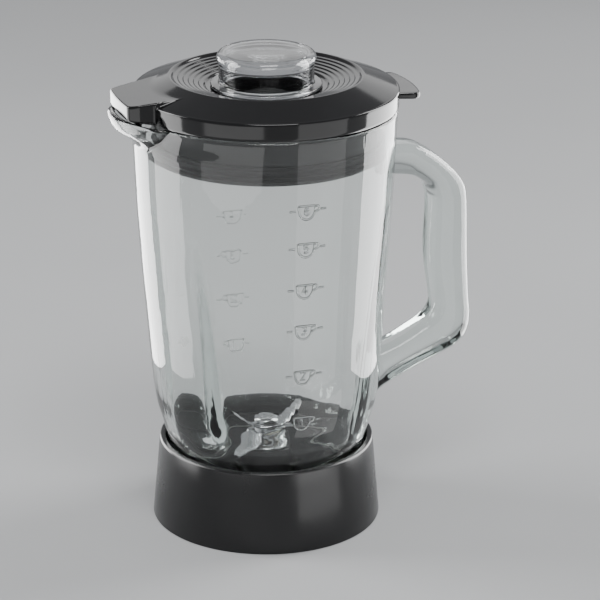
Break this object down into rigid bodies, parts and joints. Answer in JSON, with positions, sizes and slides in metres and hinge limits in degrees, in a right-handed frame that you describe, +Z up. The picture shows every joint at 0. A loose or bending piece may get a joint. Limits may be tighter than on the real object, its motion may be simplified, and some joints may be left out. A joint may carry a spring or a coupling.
{
  "type": "countertop blender jug",
  "caption": "Clear glass blender jug with a side handle and spout, a gloss black lid with a clear measuring cap, and a black collar that holds the blade unit.",
  "frame": {"origin": "middle of the outline in plan, on the surface that the collar's foot stands on; the jug's own axis is the vertical line at x = -0.01545", "axes": "+Z up along the jug's axis, +X from the jug towards the back of its handle, -X towards the pouring spout"},
  "size_m": [0.1996, 0.1394, 0.2602],
  "materials": {
    "jug_glass": "clear polished soda-lime glass, faintly grey-green where it is thick",
    "clear_plastic": "clear moulded plastic, polished",
    "gloss_black": "high-gloss moulded plastic",
    "satin_black": "satin moulded plastic",
    "black_rubber": "matt rubber",
    "grey_silicone": "matt silicone rubber",
    "stainless": "brushed and ground stainless steel",
    "zinc": "zinc-plated steel",
    "bronze": "sintered bronze",
    "nylon": "natural nylon"
  },
  "bodies": {
    "base": {"collar_shell": "satin_black", "collar_web": "satin_black", "neck_sleeve": "satin_black", "drive_guard": "satin_black", "collar_screw_1": "zinc", "collar_screw_2": "zinc", "collar_screw_3": "zinc", "collar_screw_4": "zinc", "blade_carrier": "satin_black", "jug_gasket": "grey_silicone", "bearing_housing": "stainless", "housing_nut": "zinc", "lower_bush": "bronze", "upper_bush": "bronze", "shaft_seal": "black_rubber"},
    "rotor": {"blade_shaft": "stainless", "retaining_clip": "stainless", "lower_thrust_washer": "nylon", "upper_thrust_washer": "nylon", "lower_blade": "stainless", "blade_spacer": "stainless", "upper_blade": "stainless", "blade_nut": "stainless", "coupling_insert": "zinc", "drive_coupling": "black_rubber"},
    "jug": {"glass_jug": "jug_glass"},
    "lid": {"lid_cover": "gloss_black", "lid_plug": "satin_black", "lid_seal": "black_rubber"},
    "cap": {"measuring_cap": "clear_plastic"}
  },
  "joints": [
    {"name": "jug_turn", "type": "hinge", "parent": "base", "child": "jug", "pos_m": [-0.01545, 0, 0.024], "axis": [0, 0, 1], "range_deg": [0, 45]},
    {"name": "blade_spin", "type": "hinge", "parent": "base", "child": "rotor", "pos_m": [-0.01545, 0, 0.03], "axis": [0, 0, 1], "continuous": true},
    {"name": "lid_lift", "type": "slide", "parent": "jug", "child": "lid", "axis": [0, 0, 1], "range_m": [0, 0.075]},
    {"name": "cap_lift", "type": "slide", "parent": "lid", "child": "cap", "axis": [0, 0, 1], "range_m": [0, 0.045]}
  ]
}
